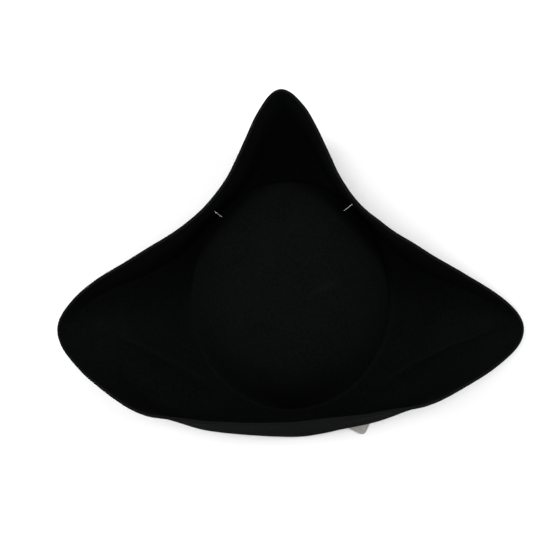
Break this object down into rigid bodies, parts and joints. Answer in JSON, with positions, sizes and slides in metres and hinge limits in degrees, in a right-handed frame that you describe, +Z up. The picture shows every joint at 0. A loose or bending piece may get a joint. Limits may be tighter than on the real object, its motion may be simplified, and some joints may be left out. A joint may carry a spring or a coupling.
{
  "type": "tricorn hat",
  "caption": "Black wool-felt tricorn: an oval domed crown in a wide brim turned up on the front sides and the back, with sweatband, labels and nylon ties.",
  "frame": {"origin": "middle of the head opening, in the plane that the hat rests on", "axes": "+Z up through the crown as worn, +Y to the front point, +X to the wearer's right"},
  "size_m": [0.4152, 0.3006, 0.112],
  "materials": {
    "felt": "matt black wool felt",
    "grosgrain": "ribbed black grosgrain",
    "thread": "spun black thread",
    "satin": "woven satin, left blank",
    "satin_white": "printed satin, left blank",
    "nylon": "clear extruded nylon",
    "card": "uncoated grey card, left blank"
  },
  "bodies": {
    "hat": {"felt_body": "felt", "sweatband": "grosgrain", "sweatband_seam_thread": "thread", "size_label": "satin", "left_flap_tie": "nylon", "right_flap_tie": "nylon", "tag_fastener": "nylon"},
    "tag": {"swing_tag": "card"},
    "care": {"care_label": "satin_white"}
  },
  "joints": [
    {"name": "tag_swivel", "type": "hinge", "parent": "hat", "child": "tag", "pos_m": [0.0257, -0.0835, 0.0016], "axis": [0, 0, 1], "range_deg": [-4, 90]},
    {"name": "care_label_lift", "type": "hinge", "parent": "hat", "child": "care", "pos_m": [-0.0801, 0, 0.0315], "axis": [0, -1, 0], "range_deg": [0, 75]}
  ]
}
